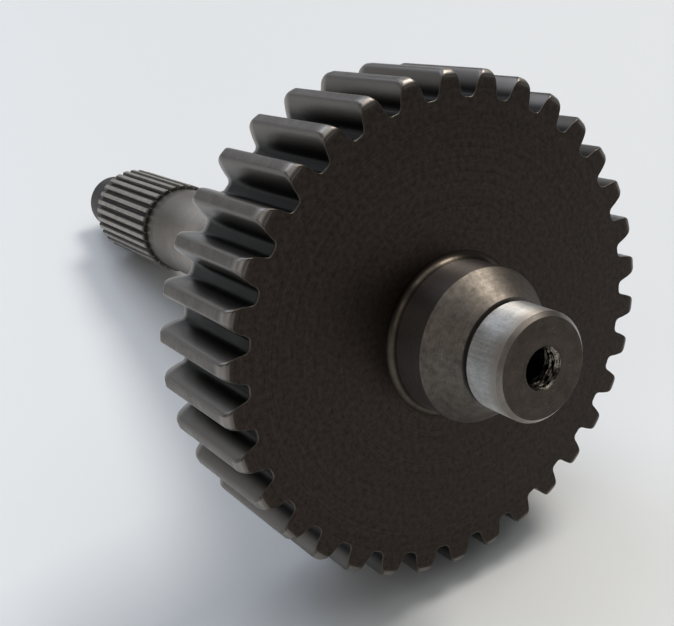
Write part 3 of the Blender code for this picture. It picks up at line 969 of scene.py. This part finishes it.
    # Plain shaft, rough-turned and then heat-treated: brown grey with rings. It is painted darker towards the
    # spline, a painted shade.
    made["shaft"] = steel(
        "oxidised_steel_turned_shaft", axes, "#827C76", "#ABA49D", roughness=0.42,
        cloud=6.0 * MM, grain=0.5 * MM, marks=0.5 * MM, relief=0.010 * MM,
        stretch=0.5, tarnish_and_painted_light=[("Along", SPLINE_START + 30.0 * MM, SPLINE_START + 6.0 * MM, "#6A645E")],
    )
    # Neck before the spline, turned like the shaft: a darker brown grey, a painted shade of the dip before
    # the spline
    made["neck"] = steel(
        "oxidised_steel_neck_painted_shade", axes, "#504B46", "#6E6862", roughness=0.45,
        cloud=4.0 * MM, grain=0.4 * MM, marks=0.4 * MM, relief=0.008 * MM,
    )
    # Floors and flanks of the spline: dark oxide left by the hob and the furnace
    made["spline_groove"] = steel(
        "oxidised_steel_spline_groove", axes, "#34312E", "#514C47", roughness=0.45,
        cloud=3.0 * MM, grain=0.4 * MM, marks=0.4 * MM, relief=0.008 * MM,
        way="Drawn",
    )
    # Lands of the spline, worn bright by its hub, and painted darker over their ends beside the neck, a
    # painted shade
    made["spline_land"] = steel(
        "worn_steel_spline_land", axes, "#847F78", "#ABA59D", roughness=0.46,
        cloud=3.0 * MM, grain=0.4 * MM, marks=0.4 * MM, relief=0.006 * MM,
        way="Drawn", tarnish_and_painted_light=[("Along", SPLINE_START - 1.2 * MM, SPLINE_START - 0.3 * MM, "#6A655F")],
    )
    # Pilot nose, turned and then heat-treated: dark and dull, its darkness partly a painted shade
    made["nose"] = steel(
        "oxidised_steel_turned_nose", axes, "#2C2A28", "#423F3B", roughness=0.45,
        cloud=4.0 * MM, grain=0.4 * MM, marks=0.4 * MM, relief=0.008 * MM,
    )
    return [made[name] for name in ZONES]


def place_camera():
    """The photograph's viewpoint, matched to the outlines of the turned steps and the gear teeth."""
    data = bpy.data.cameras.new("camera")
    data.sensor_width = 36.0
    data.lens = CAMERA_LENS
    data.clip_start = 0.01
    camera = bpy.data.objects.new("camera", data)
    bpy.context.scene.collection.objects.link(camera)
    turn = Matrix.Rotation(math.radians(CAMERA_AZIMUTH), 4, "Z")
    lean = Matrix.Rotation(math.radians(90.0 - CAMERA_ELEVATION), 4, "X")
    roll = Matrix.Rotation(math.radians(CAMERA_ROLL), 4, "Z")
    camera.matrix_world = Matrix.Translation(CAMERA_PLACE) @ turn @ lean @ roll
    bpy.context.scene.camera = camera


def soft_box(name, azimuth, elevation, size, watts, code):
    """A square lamp that faces the object. Azimuth 0 stands on the -Y side and 90 on the +X side."""
    data = bpy.data.lights.new(name, "AREA")
    data.shape = "SQUARE"
    data.size = size
    data.energy = watts
    data.color = linear(code)[:3]
    lamp = bpy.data.objects.new(name, data)
    bpy.context.scene.collection.objects.link(lamp)
    a = math.radians(azimuth)
    e = math.radians(elevation)
    towards = Vector((math.sin(a) * math.cos(e), -math.cos(a) * math.cos(e), math.sin(e)))
    lamp.location = LIGHT_TARGET + towards * LAMP_DISTANCE
    lamp.rotation_euler = towards.to_track_quat("Z", "Y").to_euler()


def soft_panel(name, low, high, height, watts, code):
    """A rectangular lamp that hangs level and faces down, from corner `low` to corner `high`, as (x, y)."""
    data = bpy.data.lights.new(name, "AREA")
    data.shape = "RECTANGLE"
    data.size = high[0] - low[0]
    data.size_y = high[1] - low[1]
    data.energy = watts
    data.color = linear(code)[:3]
    lamp = bpy.data.objects.new(name, data)
    bpy.context.scene.collection.objects.link(lamp)
    lamp.location = ((low[0] + high[0]) / 2.0, (low[1] + high[1]) / 2.0, height)


def seen_share(tree, share):
    """A share that counts only for what the camera, metal and glass see, and not for the light that falls."""
    ray = add(tree, "ShaderNodeLightPath")
    camera_or_metal = add(
        tree, "ShaderNodeMath", {0: ray.outputs["Is Camera Ray"], 1: ray.outputs["Is Glossy Ray"]},
        operation="MAXIMUM",
    )
    seen = add(
        tree, "ShaderNodeMath", {0: camera_or_metal, 1: ray.outputs["Is Transmission Ray"]},
        operation="MAXIMUM",
    )
    return add(tree, "ShaderNodeMath", {0: seen, 1: share}, operation="MULTIPLY")


def light_studio():
    """A pale room: broad soft lamps, and a surround brightest overhead and behind the gear."""
    world = bpy.data.worlds.new("studio")
    bpy.context.scene.world = world
    world.use_nodes = True
    tree = world.node_tree
    background = tree.nodes["Background"]
    direction = add(tree, "ShaderNodeTexCoord")
    height = add(
        tree, "ShaderNodeVectorMath", {0: direction.outputs["Generated"], 1: BRIGHTEST_SKY},
        operation="DOT_PRODUCT",
    )
    rise = add(
        tree, "ShaderNodeMapRange",
        {"Value": height.outputs["Value"], "From Min": 0.0, "From Max": SKY_FULL},
    )
    colour = add(
        tree, "ShaderNodeMix", {0: rise, 6: linear(SKY_LOW_TONE), 7: linear(SKY_HIGH_TONE)},
        data_type="RGBA",
    )
    tree.links.new(colour.outputs[2], background.inputs["Color"])
    background.inputs["Strength"].default_value = SKY_STRENGTH

    # Low down the room's pale walls, as the camera, metal and glass see them
    walls = add(tree, "ShaderNodeBackground", {"Color": linear(WALL_TONE), "Strength": 1.0})
    upward = add(tree, "ShaderNodeSeparateXYZ", {0: direction.outputs["Generated"]})
    low = add(
        tree, "ShaderNodeMapRange",
        {"Value": upward.outputs["Z"], "From Min": WALL_FADE_END, "From Max": WALL_FADE_START},
    )
    both = add(
        tree, "ShaderNodeMixShader",
        {0: seen_share(tree, low), 1: background, 2: walls},
    )
    tree.links.new(both.outputs[0], tree.nodes["World Output"].inputs["Surface"])
    soft_panel("ceiling", low=(-0.60, -0.45), high=(0.90, 1.35), height=1.70, watts=8.0, code="#FFFDFA")
    soft_box("window", azimuth=-80.0, elevation=46.0, size=2.2, watts=28.0, code="#E6EEFF")
    soft_box("lamp", azimuth=-168.0, elevation=57.0, size=0.8, watts=37.0, code="#FFF8EE")
    soft_box("fill", azimuth=20.0, elevation=34.0, size=1.8, watts=8.0, code="#FFF8F0")


def pale_floor():
    """A plain pale floor under the shaft, which stays as pale where the lamps no longer reach."""
    mesh = bpy.data.meshes.new("floor")
    bm = bmesh.new()
    bmesh.ops.create_grid(bm, x_segments=1, y_segments=1, size=FLOOR_HALF_SIZE)
    bm.to_mesh(mesh)
    bm.free()
    floor = bpy.data.objects.new("floor", mesh)
    bpy.context.scene.collection.objects.link(floor)
    material = bpy.data.materials.new("painted_board_floor")
    material.use_nodes = True
    tree = material.node_tree
    shader = tree.nodes["Principled BSDF"]
    shader.inputs["Base Color"].default_value = linear(FLOOR_TONE)
    shader.inputs["Roughness"].default_value = FLOOR_ROUGHNESS
    pale = add(tree, "ShaderNodeEmission", {"Color": linear(WALL_TONE), "Strength": 1.0})
    place = add(tree, "ShaderNodeTexCoord")
    away = add(tree, "ShaderNodeVectorMath", {0: place.outputs["Object"]}, operation="LENGTH")
    far = add(
        tree, "ShaderNodeMapRange",
        {"Value": away.outputs["Value"], "From Min": FLOOR_FADE_START, "From Max": FLOOR_FADE_END},
        interpolation_type="SMOOTHSTEP",
    )
    both = add(
        tree, "ShaderNodeMixShader",
        {0: seen_share(tree, far), 1: shader, 2: pale},
    )
    tree.links.new(both.outputs[0], tree.nodes["Material Output"].inputs["Surface"])
    mesh.materials.append(material)


def main():
    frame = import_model()
    bpy.context.scene.view_settings.view_transform = "Standard"
    place_camera()
    light_studio()
    pale_floor()

    lie = laid_down(frame["record"])
    finishes = finishes_of_shaft(shaft_coordinates(lie))
    mesh = build_shaft(finishes)
    mesh.transform(lie)
    shaft = bpy.data.objects.new("machined_shaft", mesh)
    bpy.context.scene.collection.objects.link(shaft)
    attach(shaft, "root")
    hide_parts("output_shaft")


main()
